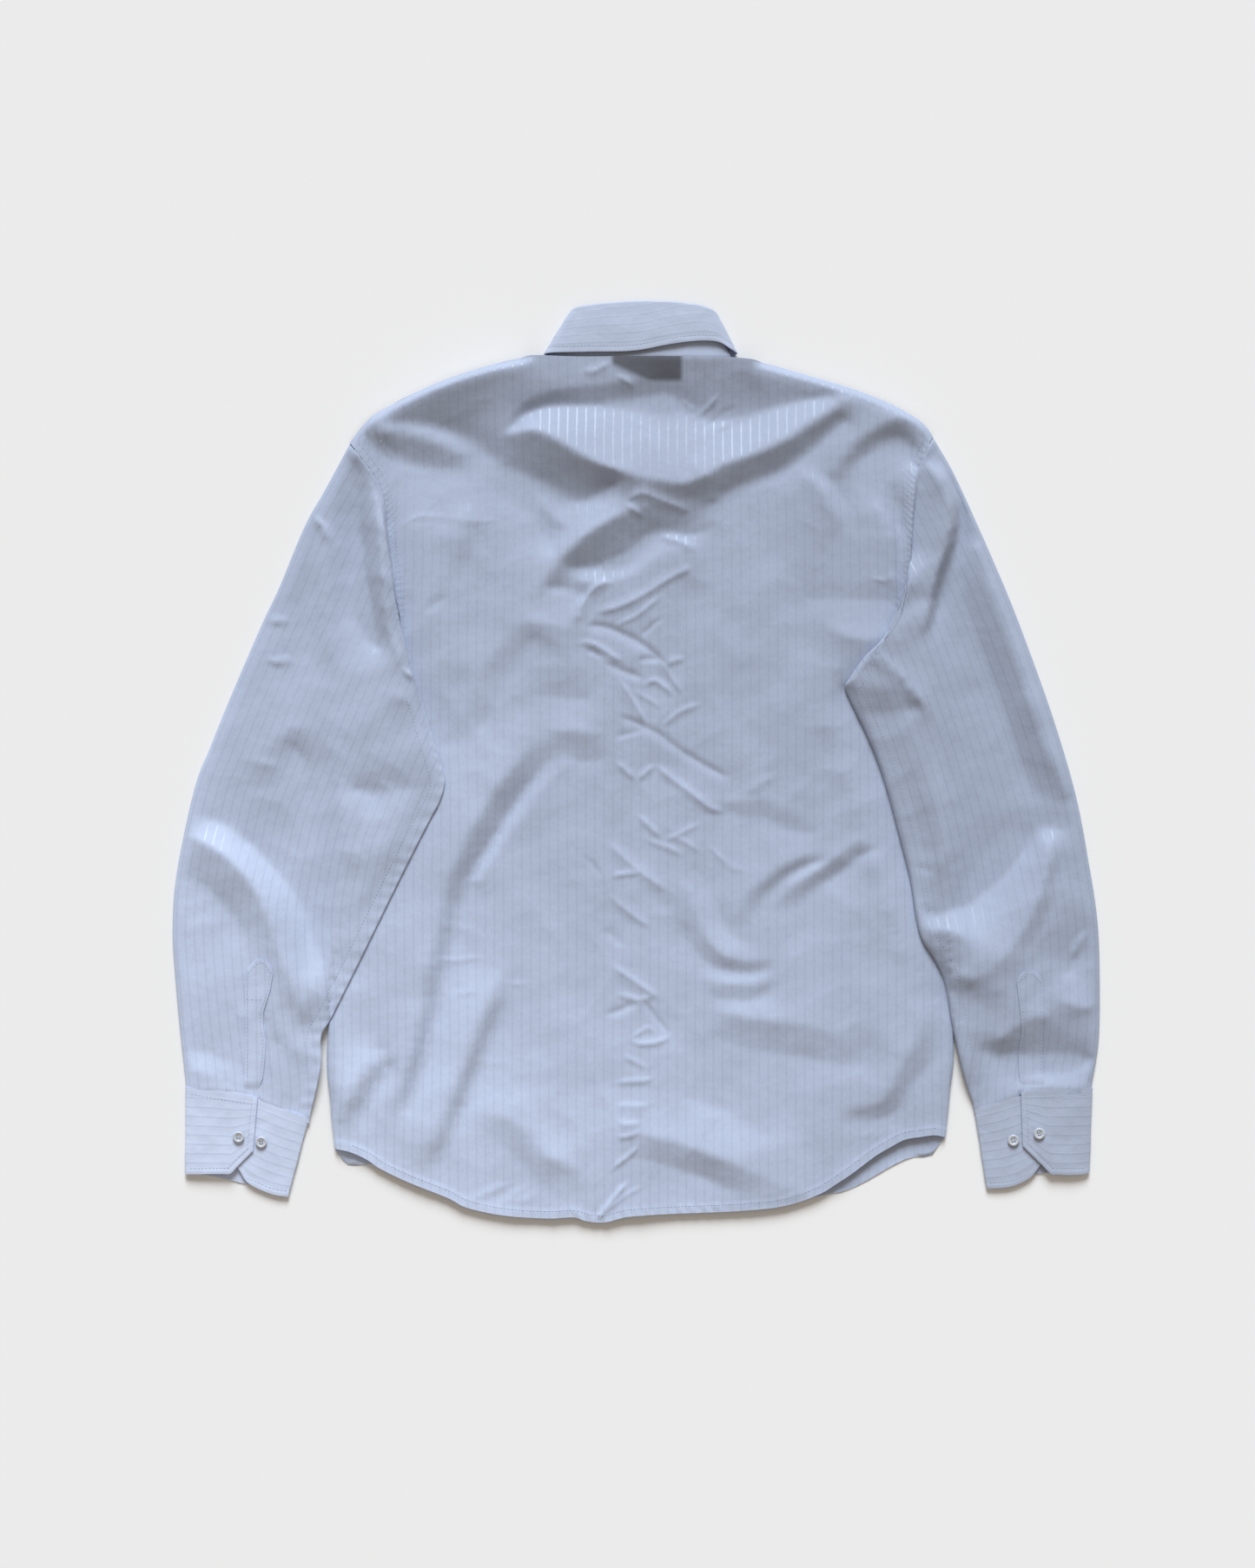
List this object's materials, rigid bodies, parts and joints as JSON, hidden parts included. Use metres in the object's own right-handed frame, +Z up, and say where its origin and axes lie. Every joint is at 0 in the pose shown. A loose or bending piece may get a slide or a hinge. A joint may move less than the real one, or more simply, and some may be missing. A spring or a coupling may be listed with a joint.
{
  "type": "long-sleeved shirt laid flat",
  "caption": "Long-sleeved cotton shirt with button cuffs, folded collar and curved hem, lying flat and face down with its sleeves across its sides.",
  "frame": {"origin": "centre of the bounding box at its base, on the surface that the shirt lies on", "axes": "+X to the right seen from above, +Y from the hem to the collar, +Z up from the surface, so the back of the shirt faces +Z"},
  "size_m": [0.8158, 0.8056, 0.0197],
  "materials": {
    "cotton": "pale blue-white cotton with a tonal satin stripe",
    "cotton_stiff": "the same cotton over a stiff interlining",
    "button_resin": "glossy pearl white resin",
    "label_woven": "plain dark woven patch"
  },
  "bodies": {
    "root": {"back": "cotton", "front_left": "cotton", "front_right": "cotton", "sleeve_left": "cotton", "sleeve_right": "cotton", "cuff_left": "cotton_stiff", "cuff_right": "cotton_stiff", "gauntlet_left": "cotton_stiff", "gauntlet_right": "cotton_stiff", "collar_leaf": "cotton_stiff", "collar_stand": "cotton_stiff", "neck_label": "label_woven", "button_cuff_left_worn": "button_resin", "button_cuff_left_spare": "button_resin", "button_cuff_right_worn": "button_resin", "button_cuff_right_spare": "button_resin", "button_front_1": "button_resin", "button_front_2": "button_resin", "button_front_3": "button_resin", "button_front_4": "button_resin", "button_front_5": "button_resin", "button_front_6": "button_resin", "button_front_7": "button_resin", "button_collar": "button_resin"}
  },
  "joints": []
}
